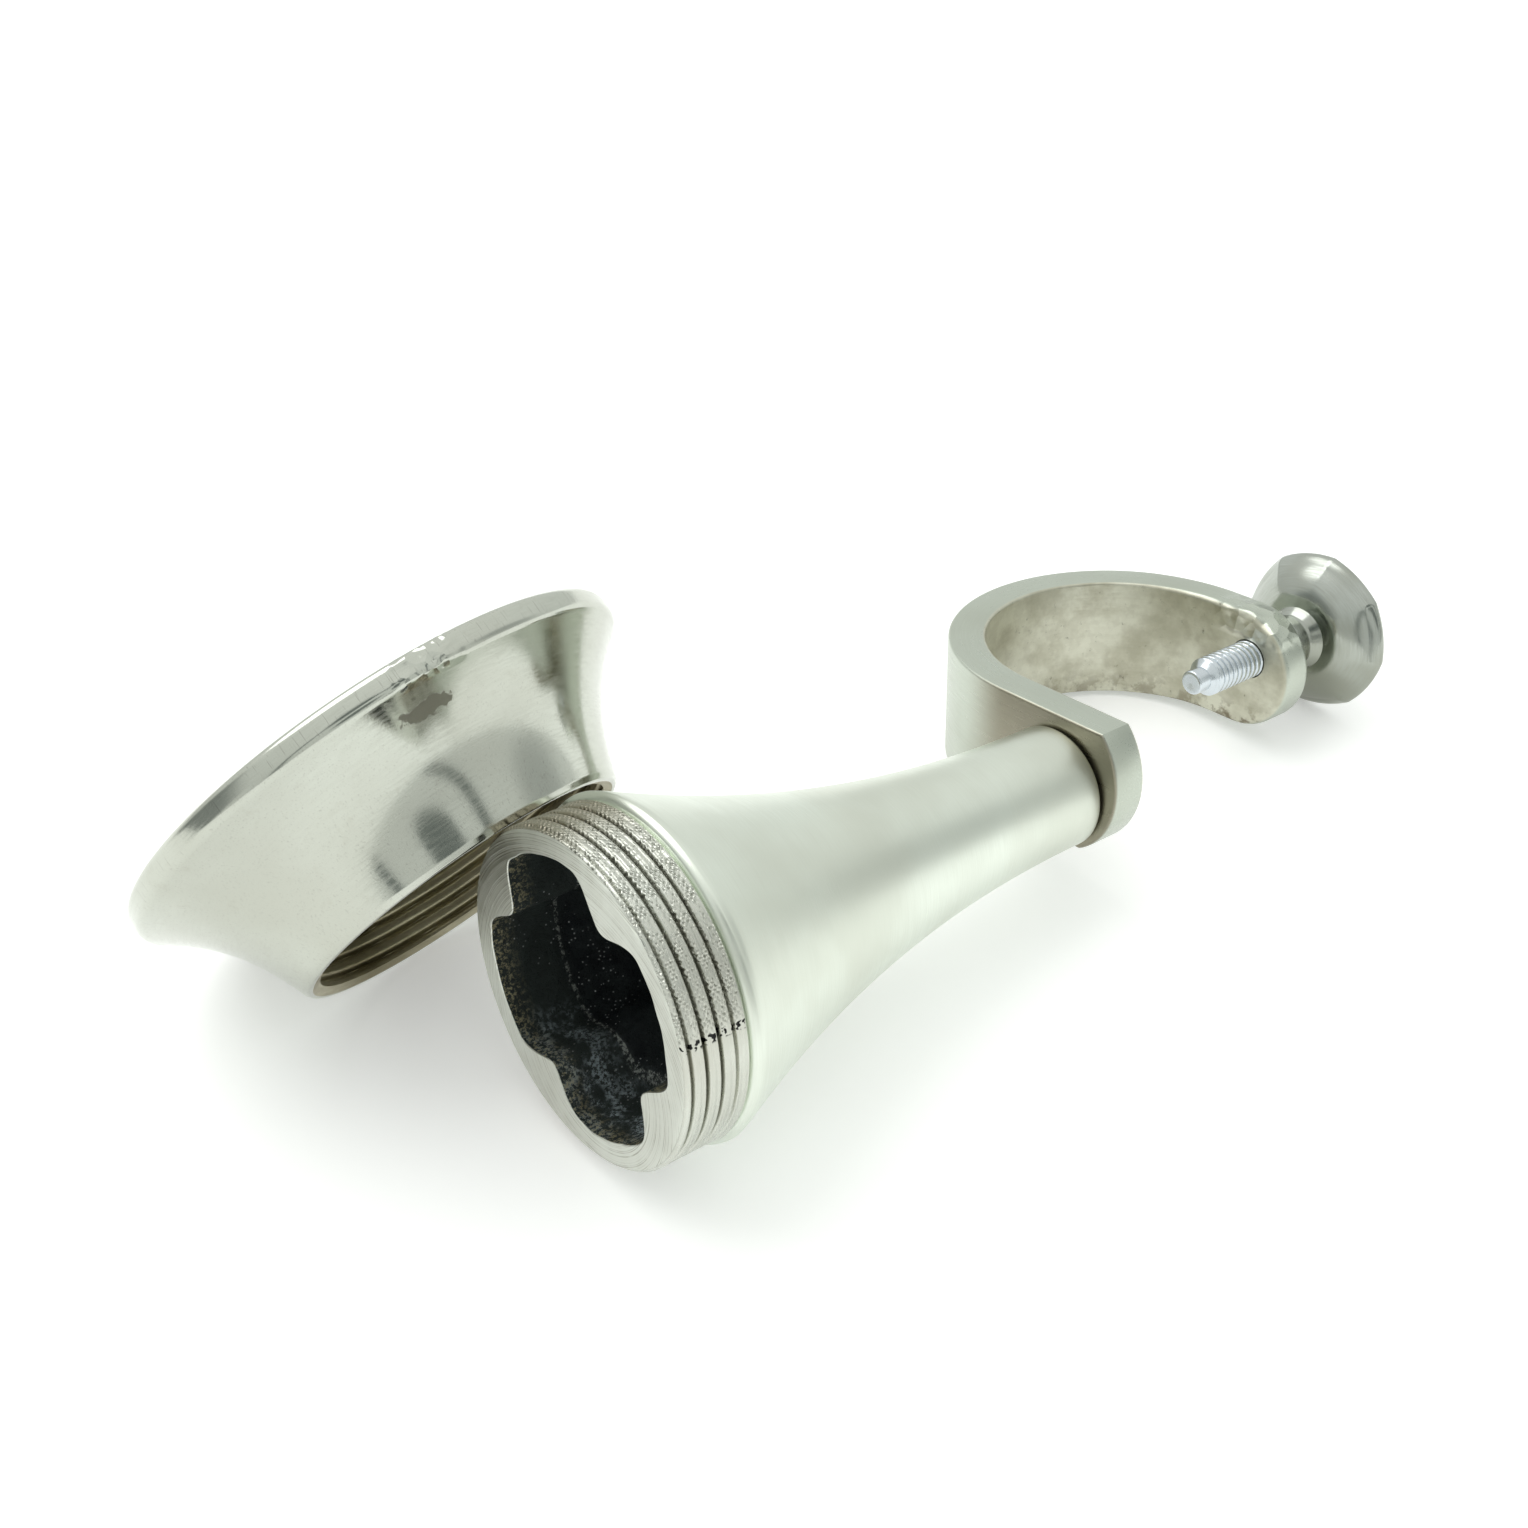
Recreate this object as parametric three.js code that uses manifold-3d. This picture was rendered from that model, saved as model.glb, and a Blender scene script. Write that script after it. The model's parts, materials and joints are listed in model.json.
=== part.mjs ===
// Curtain rod bracket, shown taken apart: a cast trumpet stem with a threaded foot, a strap hook
// that carries the rod, a thumb screw that clamps it, and the wall rose unscrewed from the stem.
// Millimetres, +Z up. The bracket lies on its side on a table and the rose leans against its thread.
import * as THREE from 'three';
import { mergeVertices } from 'three/addons/utils/BufferGeometryUtils.js';
import Module from 'manifold-3d';

const wasm = await Module();
wasm.setup();

// ---- driving dimensions ----
const gap = 0.3;                 // clearance between pieces that touch
const facets = 48;               // sides of a large turned surface
const smallFacets = 28;          // sides of a screw or a hole

const stemLength = 53.7;
const threadRadius = 14.2;       // crest of the external thread
const threadDepth = 0.6;
const threadPitch = 1.4;
const threadLength = 6.1;
const shoulderRadius = 15.45;
const stemEndRadius = 5.9;
const flarePower = 2.22;         // how fast the trumpet narrows
const flareCrowding = 1.3;       // its rings sit closer together at the wide end
const edge = 0.35;               // broken edges on turned pieces

const coreRadius = 12.4;         // cored hollow at the open end
const coreBossHeight = 2.8;      // four bosses stand into the hollow
const coreBossAngle = THREE.MathUtils.degToRad(26);
const coreWall = 2.0;            // casting wall round the hollow
const coreDepth = 33;

const strapWidth = 12.7;
const strapThickness = 3.7;
const strapOffset = 0.75;        // strap centre above the stem axis
const ringOuterRadius = 17.5;
const ringInnerRadius = ringOuterRadius - strapThickness;
const strapBend = 7.8;           // length of straight strap from the stem axis to the bend
const footRadius = 8.2;
const footCentre = 0.95;         // middle of the foot's rounded end, along the strap
const footUp = 1.5;              // and above the stem axis
const legEndCentre = 4.5;        // centre of the rounded end that holds the thumb screw

const footScrewRadius = 2.3;
const footScrewHeadRadius = 4.8; // mouth of its countersink
const footScrewDepth = 12;
const footScrewSocket = 1.5;     // half width of the hexagon socket
const footScrewSocketDepth = 1.6;

const thumbScrewRadius = 1.98;
const thumbScrewPitch = 0.7;
const dogPointRadius = 1.25;
const dogPointLength = 1.7;
const thumbScrewReach = 8.8;     // how far the tip stands into the ring
const thumbScrewAcross = 3.2;    // thumb screw axis, across the strap leg
const thumbScrewUp = 2.15;       // thumb screw axis, up the strap leg
const neckRadius = 3.05;
const neckLength = 3.9;
const knobRadius = 8.5;
const knobFlare = 2.2;           // length of the flared underside
const knobFlarePower = 1.6;      // how late the underside dishes out
const knobBand = 1.6;
const knobCrown = 0.5;
const knobSides = 8;
const knobFacetDepth = 0.13;

const roseMouthRadius = 15.8;
const roseLip = 0.5;
const roseNeckRadius = 16.0;
const roseRimRadius = 24.35;
const roseHeight = 14.05;
const roseBand = 2.15;
const roseTaper = 4.2;           // straight part of the flare
const roseCurve = 4.15;          // cubic part of the flare
const roseBoreRadius = threadRadius + gap;
const roseThreadLength = 6.6;
const roseWall = 2.4;
const roseFloor = 2.2;
const roseFillet = 1.2;          // the inside narrows by this at the floor
const roseFilletHeight = 2;
const roseThroat = 0.6;          // where along the flare the wall inside the mouth is measured
const roseHoleRadius = 2.3;
const roseHoleHeadRadius = 4.4;
const roseHoleCircle = 9.0;
const roseHoles = 3;

const restPitch = 5.46;          // how the bracket lies: on its shoulder, ring edge and knob
const restRoll = -6.61;
const roseHeading = 97.0;        // where the rose lies beside the thread
const rosePlace = [2.3, 20.25];

// ---- helpers ----
const metal = (name, color, roughness) =>
  new THREE.MeshStandardMaterial({ name, color, roughness, metalness: 1 });
const satinNickel = metal('satin_nickel', 0xc9cdc4, 0.35);
const polishedNickel = metal('polished_nickel', 0xd2d4cc, 0.14);
const strapNickel = metal('strap_nickel', 0xc2c4b8, 0.32);
const zinc = metal('zinc', 0xc4cdd4, 0.25);
const steel = metal('steel', 0xaaaca8, 0.35);

function solidOf(geometry) {
  const bare = geometry.clone();
  bare.deleteAttribute('normal');
  bare.deleteAttribute('uv');
  const merged = mergeVertices(bare, 1e-4);
  return new wasm.Manifold(new wasm.Mesh({
    numProp: 3,
    vertProperties: new Float32Array(merged.attributes.position.array),
    triVerts: new Uint32Array(merged.index.array),
  }));
}

function geometryOf(solid) {
  const mesh = solid.getMesh();
  const geometry = new THREE.BufferGeometry();
  geometry.setAttribute('position', new THREE.BufferAttribute(mesh.vertProperties, 3));
  geometry.setIndex(new THREE.BufferAttribute(mesh.triVerts, 1));
  geometry.computeVertexNormals();
  return geometry;
}

const cut = (base, ...tools) =>
  geometryOf(tools.reduce((solid, tool) => solid.subtract(solidOf(tool)), solidOf(base)));

// Turns a profile of [x, radius] points round the X axis.
function turned(profile, sides = facets) {
  const points = profile.map(([x, radius]) => new THREE.Vector2(radius, x));
  return new THREE.LatheGeometry(points, sides).rotateZ(-Math.PI / 2);
}

const rod = (from, to, radius, sides = smallFacets) =>
  turned([[from, 0], [from, radius], [to, radius], [to, 0]], sides);

// A closed skin over cross-sections, each a list of THREE.Vector3 in the same order.
function loft(sections) {
  const count = sections[0].length;
  const last = sections.length - 1;
  const centre = (section) =>
    section.reduce((sum, p) => sum.add(p), new THREE.Vector3()).divideScalar(count);
  const points = [...sections.flat(), centre(sections[0]), centre(sections[last])];
  const start = count * sections.length;
  const index = [];
  for (let j = 0; j < count; j++) {
    const k = (j + 1) % count;
    for (let i = 0; i < last; i++) {
      const [a, b, c, d] = [i * count + j, i * count + k, (i + 1) * count + j, (i + 1) * count + k];
      index.push(a, b, d, a, d, c);
    }
    index.push(start, k, j, start + 1, last * count + j, last * count + k);
  }
  const geometry = new THREE.BufferGeometry().setFromPoints(points);
  geometry.setIndex(index);
  return geometry;
}

// Ridges of a thread between two places along X, drawn as plain rings.
function ridges(from, to, crest, depth) {
  const points = [];
  const count = Math.floor((to - from) / threadPitch);
  for (let i = 0; i < count; i++) {
    const x = from + i * threadPitch;
    points.push([x, crest], [x + threadPitch / 2, crest - depth]);
  }
  points.push([from + count * threadPitch, crest]);
  return points;
}

function piece(name, geometry, material) {
  const mesh = new THREE.Mesh(geometry, material);
  mesh.name = name;
  return mesh;
}

// ---- stem: axis on +X, open threaded end at the origin ----
const stemRadius = (x) => {
  const along = (x - threadLength) / (stemLength - threadLength);
  return stemEndRadius + (shoulderRadius - stemEndRadius) * (1 - along) ** flarePower;
};

function stemGeometry() {
  const profile = [[0, 0], [0, threadRadius - threadDepth]];
  profile.push(...ridges(edge, threadLength - edge, threadRadius, threadDepth));
  profile.push([threadLength, threadRadius - threadDepth], [threadLength, shoulderRadius - edge]);
  const steps = 18;
  for (let i = 0; i <= steps; i++) {
    const x = threadLength + edge + (stemLength - edge - threadLength - edge) * (i / steps) ** flareCrowding;
    profile.push([x, stemRadius(x)]);
  }
  profile.push([stemLength, stemEndRadius - edge], [stemLength, 0]);
  const tapped = rod(stemLength - footScrewDepth, stemLength + 1, footScrewRadius + gap);
  return cut(turned(profile), coreGeometry(), tapped);
}

// Cored hollow: a round pocket with four bosses, tapering with the casting.
function coreGeometry() {
  const sides = 64;
  const stations = [-1, 0, threadLength, 11, 17, 24, coreDepth];
  return loft(stations.map((x) => {
    const room = x > threadLength ? stemRadius(x) - coreWall : coreRadius;
    const scale = Math.min(1, room / coreRadius);
    return Array.from({ length: sides }, (_, i) => {
      const angle = (i / sides) * 2 * Math.PI;
      const boss = Math.max(0, Math.cos(4 * (angle - coreBossAngle))) ** 2;
      const radius = (coreRadius - coreBossHeight * boss) * scale;
      return new THREE.Vector3(x, radius * Math.cos(angle), radius * Math.sin(angle));
    });
  }));
}

// ---- hook: a flat strap bent into a foot, a ring and a leg with a rounded end ----
const hookStart = stemLength + gap;
const ringCentreX = hookStart + ringOuterRadius;
const legX = hookStart + 2 * ringOuterRadius;

function hookGeometry() {
  const halfWidth = strapWidth / 2;
  const low = footCentre - footRadius;
  const legEnd = legEndCentre - halfWidth;
  const outline = new THREE.Shape();
  outline.moveTo(hookStart + strapThickness, low);
  outline.lineTo(hookStart + strapThickness, strapBend);
  outline.absarc(ringCentreX, strapBend, ringInnerRadius, Math.PI, 0, true);
  outline.lineTo(legX - strapThickness, legEnd);
  outline.lineTo(legX, legEnd);
  outline.lineTo(legX, strapBend);
  outline.absarc(ringCentreX, strapBend, ringOuterRadius, 0, Math.PI, false);
  outline.lineTo(hookStart, low);
  const strap = new THREE.ExtrudeGeometry(outline, {
    depth: strapWidth, bevelEnabled: false, curveSegments: 36,
  }).translate(0, 0, strapOffset - halfWidth);

  const ends = [
    { x: hookStart, y: footCentre, z: footUp, radius: footRadius },
    { x: legX - strapThickness, y: legEndCentre, z: strapOffset, radius: halfWidth },
  ];
  let solid = solidOf(strap);
  for (const { x, y, z, radius } of ends) {
    const size = 2 * footRadius;
    const block = new THREE.BoxGeometry(strapThickness + 2, size, 2 * size);
    block.translate(x + strapThickness / 2, y - size / 2, strapOffset);
    const round = rod(x - 2, x + strapThickness + 2, radius, facets).translate(0, y, z);
    solid = solid.subtract(solidOf(block).subtract(solidOf(round)));
  }
  const top = hookStart + strapThickness;
  const holes = [
    rod(hookStart - 1, top + 1, footScrewRadius + gap),
    countersink(top, footScrewRadius, footScrewHeadRadius),
    rod(legX - strapThickness - 1, legX + 1, thumbScrewRadius + gap)
      .translate(0, thumbScrewAcross, thumbScrewUp),
  ];
  return geometryOf(holes.reduce((rest, hole) => rest.subtract(solidOf(hole)), solid));
}

// A cone that opens towards +X and reaches its full radius at the plane x.
const countersink = (x, from, to) =>
  turned([[x - (to - from), 0], [x - (to - from), from], [x, to], [x + 1, to], [x + 1, 0]], smallFacets);

function footScrewGeometry() {
  const top = hookStart + strapThickness - gap;
  const head = footScrewHeadRadius - 2 * gap;   // sunk by one gap, and one gap narrower
  const profile = [
    [stemLength - footScrewDepth + gap, 0],
    [stemLength - footScrewDepth + gap, footScrewRadius],
    [top - (head - footScrewRadius), footScrewRadius],
    [top, head],
    [top, 0],
  ];
  const socket = rod(top - footScrewSocketDepth, top + 1, footScrewSocket / Math.cos(Math.PI / 6), 6);
  return cut(turned(profile, smallFacets), socket);
}

// ---- thumb screw: a threaded stud and the turned knob pressed on it ----
const studTip = legX - strapThickness - thumbScrewReach;
const knobStart = legX + gap;
const flareStart = knobStart + neckLength;
const bandStart = flareStart + knobFlare;
const bandEnd = bandStart + knobBand;

const studGeometry = () => turned([
  [studTip, 0],
  [studTip, dogPointRadius],
  [studTip + dogPointLength, dogPointRadius],
  [studTip + dogPointLength + edge, thumbScrewRadius],
  [bandStart, thumbScrewRadius],
  [bandStart, 0],
], smallFacets);

function knobGeometry() {
  const profile = [[knobStart, 0], [knobStart, neckRadius], [flareStart, neckRadius]];
  const steps = 6;
  for (let i = 1; i <= steps; i++) {
    const along = i / steps;
    const radius = neckRadius + (knobRadius - neckRadius) * Math.sin((along * Math.PI) / 2);
    profile.push([flareStart + knobFlare * along ** knobFlarePower, radius]);
  }
  profile.push([bandEnd - edge, knobRadius], [bandEnd, knobRadius - edge], [bandEnd + knobCrown, 0]);
  const body = turned(profile, facets);
  const at = body.attributes.position;
  for (let i = 0; i < at.count; i++) {
    const radius = Math.hypot(at.getY(i), at.getZ(i));
    const turn = Math.atan2(at.getZ(i), at.getY(i));
    const facet = radius > neckRadius + 1 ? knobFacetDepth * (Math.cos(knobSides * turn) - 1) : 0;
    const scale = radius > 0 ? (radius + facet) / radius : 1;
    at.setY(i, at.getY(i) * scale);
    at.setZ(i, at.getZ(i) * scale);
  }
  return cut(body, rod(knobStart - 1, bandStart + gap, thumbScrewRadius + gap));
}

// ---- wall rose: axis on +X, threaded mouth at the origin, wall face at roseHeight ----
const roseFlare = (along) => roseNeckRadius + roseTaper * along + roseCurve * along ** 3;

function roseGeometry() {
  const flareEnd = roseHeight - roseBand;
  const steps = 12;
  const profile = [[0, roseBoreRadius], [0, roseMouthRadius]];
  for (let i = 0; i <= steps; i++) {
    const x = roseLip + (flareEnd - roseLip) * (i / steps);
    profile.push([x, roseFlare(x / flareEnd)]);
  }
  profile.push([roseHeight - edge, roseRimRadius], [roseHeight, roseRimRadius - edge]);
  profile.push([roseHeight, 0], [roseHeight - roseFloor, 0]);
  const inside = roseHeight - roseFloor;
  profile.push([inside, roseFlare(inside / flareEnd) - roseWall - roseFillet]);
  const filletStart = inside - roseFilletHeight;
  profile.push([filletStart, roseFlare(filletStart / flareEnd) - roseWall]);
  profile.push([roseThreadLength + 1, roseFlare(roseThroat) - roseWall]);
  const thread = ridges(edge, roseThreadLength, -roseBoreRadius, threadDepth);
  for (const [x, radius] of thread.reverse()) {
    profile.push([x, -radius]);
  }
  profile.push([0, roseBoreRadius]);
  const holes = Array.from({ length: roseHoles }, (_, i) => {
    const angle = Math.PI / 2 + (i * 2 * Math.PI) / roseHoles;
    const [y, z] = [roseHoleCircle * Math.cos(angle), roseHoleCircle * Math.sin(angle)];
    const bore = solidOf(rod(inside - 1, roseHeight + 1, roseHoleRadius));
    const head = solidOf(countersink(-inside, roseHoleRadius, roseHoleHeadRadius).rotateZ(Math.PI));
    return geometryOf(bore.add(head)).translate(0, y, z);
  });
  return cut(turned(profile), ...holes);
}

// ---- put together and laid on the table ----
const degrees = THREE.MathUtils.degToRad;
const bracket = new THREE.Group();
bracket.add(
  piece('stem', stemGeometry(), satinNickel),
  piece('rod_hook', hookGeometry(), strapNickel),
  piece('foot_screw', footScrewGeometry(), steel),
);
const thumbScrew = new THREE.Group();
thumbScrew.position.set(0, thumbScrewAcross, thumbScrewUp);
thumbScrew.add(
  piece('thumb_screw_stud', studGeometry(), zinc),
  piece('thumb_screw_knob', knobGeometry(), zinc),
);
bracket.add(thumbScrew);
bracket.rotation.set(degrees(restRoll), degrees(restPitch), 0, 'YXZ');

// The rose lies on its rim and on its mouth, so its axis slopes up by the cone's half angle.
const rose = new THREE.Group();
const rimStart = roseHeight - roseBand;
const lean = Math.atan2(roseRimRadius - roseFlare(roseLip / rimStart), rimStart - roseLip);
rose.add(piece('wall_rose', roseGeometry(), polishedNickel));
rose.rotation.set(0, -lean, degrees(roseHeading), 'ZYX');
rose.position.set(...rosePlace, 0);

// Each of the two stands on the table, and the pair is centred over the origin.
const whole = new THREE.Group();
whole.add(bracket, rose);
for (const part of [bracket, rose]) {
  part.position.z -= new THREE.Box3().setFromObject(part, true).min.z;
}
const middle = new THREE.Box3().setFromObject(whole, true).getCenter(new THREE.Vector3());
whole.position.set(-middle.x, -middle.y, 0);

export default whole;
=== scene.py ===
"""Looks for the curtain rod bracket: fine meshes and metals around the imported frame."""
import json
import math

import bmesh
import bpy
import numpy as np
from mathutils import Matrix, Vector


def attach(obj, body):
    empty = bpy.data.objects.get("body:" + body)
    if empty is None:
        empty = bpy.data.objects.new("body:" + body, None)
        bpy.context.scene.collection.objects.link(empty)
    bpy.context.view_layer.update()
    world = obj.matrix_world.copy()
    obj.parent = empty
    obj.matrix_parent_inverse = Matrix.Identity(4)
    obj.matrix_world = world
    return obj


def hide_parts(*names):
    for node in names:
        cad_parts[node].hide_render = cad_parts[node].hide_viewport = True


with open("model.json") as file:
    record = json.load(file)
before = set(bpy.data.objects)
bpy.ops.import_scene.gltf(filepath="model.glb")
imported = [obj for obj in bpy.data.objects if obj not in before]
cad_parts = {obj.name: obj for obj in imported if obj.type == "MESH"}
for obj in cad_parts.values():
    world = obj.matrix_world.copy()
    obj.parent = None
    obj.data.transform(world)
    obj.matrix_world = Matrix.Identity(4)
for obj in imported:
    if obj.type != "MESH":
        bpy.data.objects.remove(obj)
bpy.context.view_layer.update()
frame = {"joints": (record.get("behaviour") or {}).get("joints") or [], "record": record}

MM = 0.001
TAU = 2 * math.pi
FACETED = math.cos(math.pi / 48)    # the frame's round pieces have 48 flat sides

# ---- sizes, in millimetres, the same as the frame's ----
STEM_LENGTH = 53.7
THREAD_RADIUS = 14.2
THREAD_CREST = THREAD_RADIUS + 0.35
THREAD_DEPTH = 0.6
THREAD_PITCH = 1.4
THREAD_LENGTH = 6.1
THREAD_LAND = 1.0
THREAD_SHARP = 9
SHOULDER_RADIUS = 15.45
SHOULDER_EDGE = 0.8
STEM_END_RADIUS = 5.9
FLARE_POWER = 2.22
EDGE = 0.35
CORE_RADIUS = 12.4
CORE_BOSS_HEIGHT = 2.8
CORE_BOSS_ANGLE = math.radians(26)
CORE_WALL = 2.0
CORE_DEPTH = 33.0
# the ledge a little way into the hollow
LEDGE_ANGLE = math.radians(71)
LEDGE_RISE = 3.4
LEDGE_DEPTH = 6.0
# how far the bracket is rolled about the stem as it lies
REST_ROLL = math.radians(-6.61)

STRAP_WIDTH = 12.7
STRAP_THICKNESS = 3.7
STRAP_OFFSET = 0.75
RING_OUTER = 17.5
STRAP_BEND = 7.8
FOOT_RADIUS = 8.2
FOOT_CENTRE = 0.95
FOOT_UP = 1.5
LEG_END_CENTRE = 4.5
GAP = 0.3
HOOK_START = STEM_LENGTH + GAP
LEG_START = STRAP_BEND + math.pi * RING_OUTER
RING_X = HOOK_START + RING_OUTER
LEG_X = HOOK_START + 2 * RING_OUTER

FOOT_SCREW_RADIUS = 2.3
FOOT_SCREW_HEAD = 4.2
FOOT_SCREW_DEPTH = 12.0
FOOT_SCREW_SOCKET = 1.5
FOOT_SCREW_SOCKET_DEPTH = 1.6
FOOT_SCREW_PITCH = 0.8
FOOT_SCREW_SINK = 4.8
FOOT_SCREW_SINK_DEPTH = 2.6

THUMB_RADIUS = 1.98
THUMB_PITCH = 0.7
THUMB_REACH = 8.8
THUMB_ACROSS = 3.2
THUMB_UP = 2.15
DOG_RADIUS = 1.25
DOG_LENGTH = 1.7
NECK_RADIUS = 3.05
NECK_LENGTH = 3.9
KNOB_RADIUS = 8.5
KNOB_FLARE = 2.2
KNOB_BAND = 1.6
KNOB_CROWN = 0.5
KNOB_ROUND = 0.45
KNOB_SIDES = 8
KNOB_TURN = math.radians(30)

ROSE_MOUTH = 15.8
ROSE_LIP = 0.2
ROSE_NECK = 16.0
ROSE_RIM = 24.35
ROSE_HEIGHT = 14.05
ROSE_BAND = 2.15
ROSE_TAPER = 4.2
ROSE_CURVE = 4.15
ROSE_BORE = THREAD_RADIUS + GAP
ROSE_THREAD_LENGTH = 6.6
ROSE_WALL = 2.4
ROSE_FLOOR = 2.2
ROSE_FILLET = 1.2
ROSE_HOLE = 2.3
ROSE_HOLE_HEAD = 4.4
ROSE_HOLE_CIRCLE = 9.0
ROSE_HOLES = 3
# the brown mark and the row of small dents on the rose
ROSE_MARK_PLACE = (10.0, 4.1, 21.4)
ROSE_MARK_SCALE = (1.7, 0.4, 0.4)
ROSE_DENTS = 3.2

# the row of tool marks on the thread, as angles round the stem
CHATTER_BEADS = 160
CHATTER_START = 1.0
CHATTER_END = 2.93

# ---- where the two loose groups stand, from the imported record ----
swivel = next(j for j in frame["joints"] if j["name"] == "hook_swivel")
wall_face = next(m for m in frame["record"]["mounts"] if m["name"] == "wall_face")


def bracket_place():
    """Local millimetres (x along the stem from its threaded end) to the row frame in metres."""
    axis = Vector(swivel["axis"]).normalized()
    pitch = math.asin(-axis.z)
    turn = Matrix.Rotation(pitch, 4, "Y") @ Matrix.Rotation(REST_ROLL, 4, "X")
    start = Vector(swivel["pos_m"]) - axis * STEM_LENGTH * MM
    return Matrix.Translation(start) @ turn @ Matrix.Scale(MM, 4)


def rose_place():
    """Local millimetres (x from the rose's mouth to its wall face) to the row frame in metres."""
    axis = Vector(wall_face["axis"]).normalized()
    turn = Matrix.Rotation(math.atan2(axis.y, axis.x), 4, "Z") @ Matrix.Rotation(-math.asin(axis.z), 4, "Y")
    start = Vector(wall_face["pos_m"]) - axis * ROSE_HEIGHT * MM
    return Matrix.Translation(start) @ turn @ Matrix.Scale(MM, 4)


BRACKET = bracket_place()
ROSE = rose_place()
THUMB = BRACKET @ Matrix.Translation((0, THUMB_ACROSS, THUMB_UP))


# ---- mesh helpers ----
class Turning:
    """A surface turned round X. Each row is a ring, with its x and radius given round the circle."""

    def __init__(self, columns):
        self.angle = np.arange(columns) * TAU / columns
        self.x, self.r, self.kind = [], [], []

    def ring(self, x, r, kind=0):
        ones = np.ones_like(self.angle)
        self.x.append(x * ones)
        self.r.append(r * ones)
        self.kind.append(kind)

    def line(self, start, end, steps, kind=0, power=1.0):
        """Rings from start to end, both (x, r), without the first point."""
        for i in range(1, steps + 1):
            t = (i / steps) ** power
            self.ring(start[0] + (end[0] - start[0]) * t, start[1] + (end[1] - start[1]) * t, kind)

    def corner(self, centre, radius, from_deg, to_deg, steps=4, kind=0):
        """An arc of a rounded edge about centre (x, r). 0 degrees points along +X, 90 outwards."""
        for i in range(steps + 1):
            a = math.radians(from_deg + (to_deg - from_deg) * i / steps)
            self.ring(centre[0] + radius * math.cos(a), centre[1] + radius * math.sin(a), kind)

    def mesh(self, name):
        x, r = np.array(self.x), np.array(self.r) * FACETED
        rows, columns = x.shape
        y, z = r * np.cos(self.angle), r * np.sin(self.angle)
        points = np.stack([x, y, z], -1).reshape(-1, 3)
        poles = [[x[0].mean(), 0, 0], [x[-1].mean(), 0, 0]]
        at = np.arange(rows * columns).reshape(rows, columns)
        along = np.roll(at, -1, axis=1)
        quads = np.stack([at[:-1], along[:-1], along[1:], at[1:]], -1).reshape(-1, 4)
        first, last = rows * columns, rows * columns + 1
        faces = quads.tolist()
        faces += [(first, int(b), int(a)) for a, b in zip(at[0], along[0])]
        faces += [(last, int(a), int(b)) for a, b in zip(at[-1], along[-1])]
        kinds = [k for k in self.kind[1:] for _ in range(columns)]
        kinds += [self.kind[0]] * columns + [self.kind[-1]] * columns
        mesh = bpy.data.meshes.new(name)
        mesh.from_pydata(np.vstack([points, poles]).tolist(), [], faces)
        mesh.polygons.foreach_set("material_index", kinds)
        return outward(mesh)


def outward(mesh):
    work = bmesh.new()
    work.from_mesh(mesh)
    bmesh.ops.recalc_face_normals(work, faces=work.faces)
    work.to_mesh(mesh)
    work.free()
    return mesh


def bored(mesh, *tools):
    """The mesh with each tool mesh cut out of it."""
    made = bpy.data.objects.new("cutting", mesh)
    bpy.context.collection.objects.link(made)
    helpers = []
    for tool in tools:
        helper = bpy.data.objects.new("tool", tool)
        bpy.context.collection.objects.link(helper)
        helpers.append(helper)
        cut = made.modifiers.new("cut", "BOOLEAN")
        cut.operation, cut.solver, cut.object = "DIFFERENCE", "EXACT", helper
    evaluated = made.evaluated_get(bpy.context.evaluated_depsgraph_get())
    result = bpy.data.meshes.new_from_object(evaluated)
    for leftover in (made, *helpers):
        bpy.data.objects.remove(leftover)
    return result


def hole(start, end, radius, at=(0, 0), chamfer=0.0, sides=64, top=None):
    """A drill along X from start to end. chamfer opens its end, or cuts a cone up to the radius top."""
    drill = Turning(sides)
    wide = top or radius + chamfer
    drill.ring(start, radius)
    drill.line((start, radius), (end - (wide - radius), radius), 1)
    drill.line((end - (wide - radius), radius), (end, wide), 1)
    drill.line((end, wide), (end + 1, wide), 1)
    mesh = drill.mesh("drill")
    mesh.transform(Matrix.Translation((0, at[0], at[1])))
    return mesh


def flipped(mesh, about):
    """The mesh turned half round, so that what faced +X from the plane x = about faces -X."""
    mesh.transform(Matrix.Translation((about, 0, 0)) @ Matrix.Rotation(math.pi, 4, "Z")
                   @ Matrix.Translation((-about, 0, 0)))
    return mesh


def piece(name, mesh, place, materials, coordinates=None, sharp=35):
    """An object in the row frame. Its local attribute holds the millimetres that its finish is laid on."""
    co = np.zeros(len(mesh.vertices) * 3)
    mesh.vertices.foreach_get("co", co)
    co = co.reshape(-1, 3)
    local = mesh.attributes.new("local", "FLOAT_VECTOR", "POINT")
    local.data.foreach_set("vector", (coordinates(co) if coordinates else co).ravel())
    mesh.transform(place)
    mesh.shade_smooth()
    mesh.set_sharp_from_angle(angle=math.radians(sharp))
    kinds = np.zeros(len(mesh.polygons), dtype=np.int32)
    mesh.polygons.foreach_get("material_index", kinds)
    mesh.materials.clear()
    for material in materials:
        mesh.materials.append(material)
    mesh.polygons.foreach_set("material_index", kinds)
    made = bpy.data.objects.new(name, mesh)
    bpy.context.collection.objects.link(made)
    return made


def smooth_noise(angle, seed, terms=7):
    """A repeatable wavy value round the circle, between about -1 and 1."""
    draw = np.random.default_rng(seed)
    waves = [draw.uniform(0.4, 1) / k * np.cos(k * angle + draw.uniform(0, TAU)) for k in range(1, terms)]
    return sum(waves) / 1.6


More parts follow.
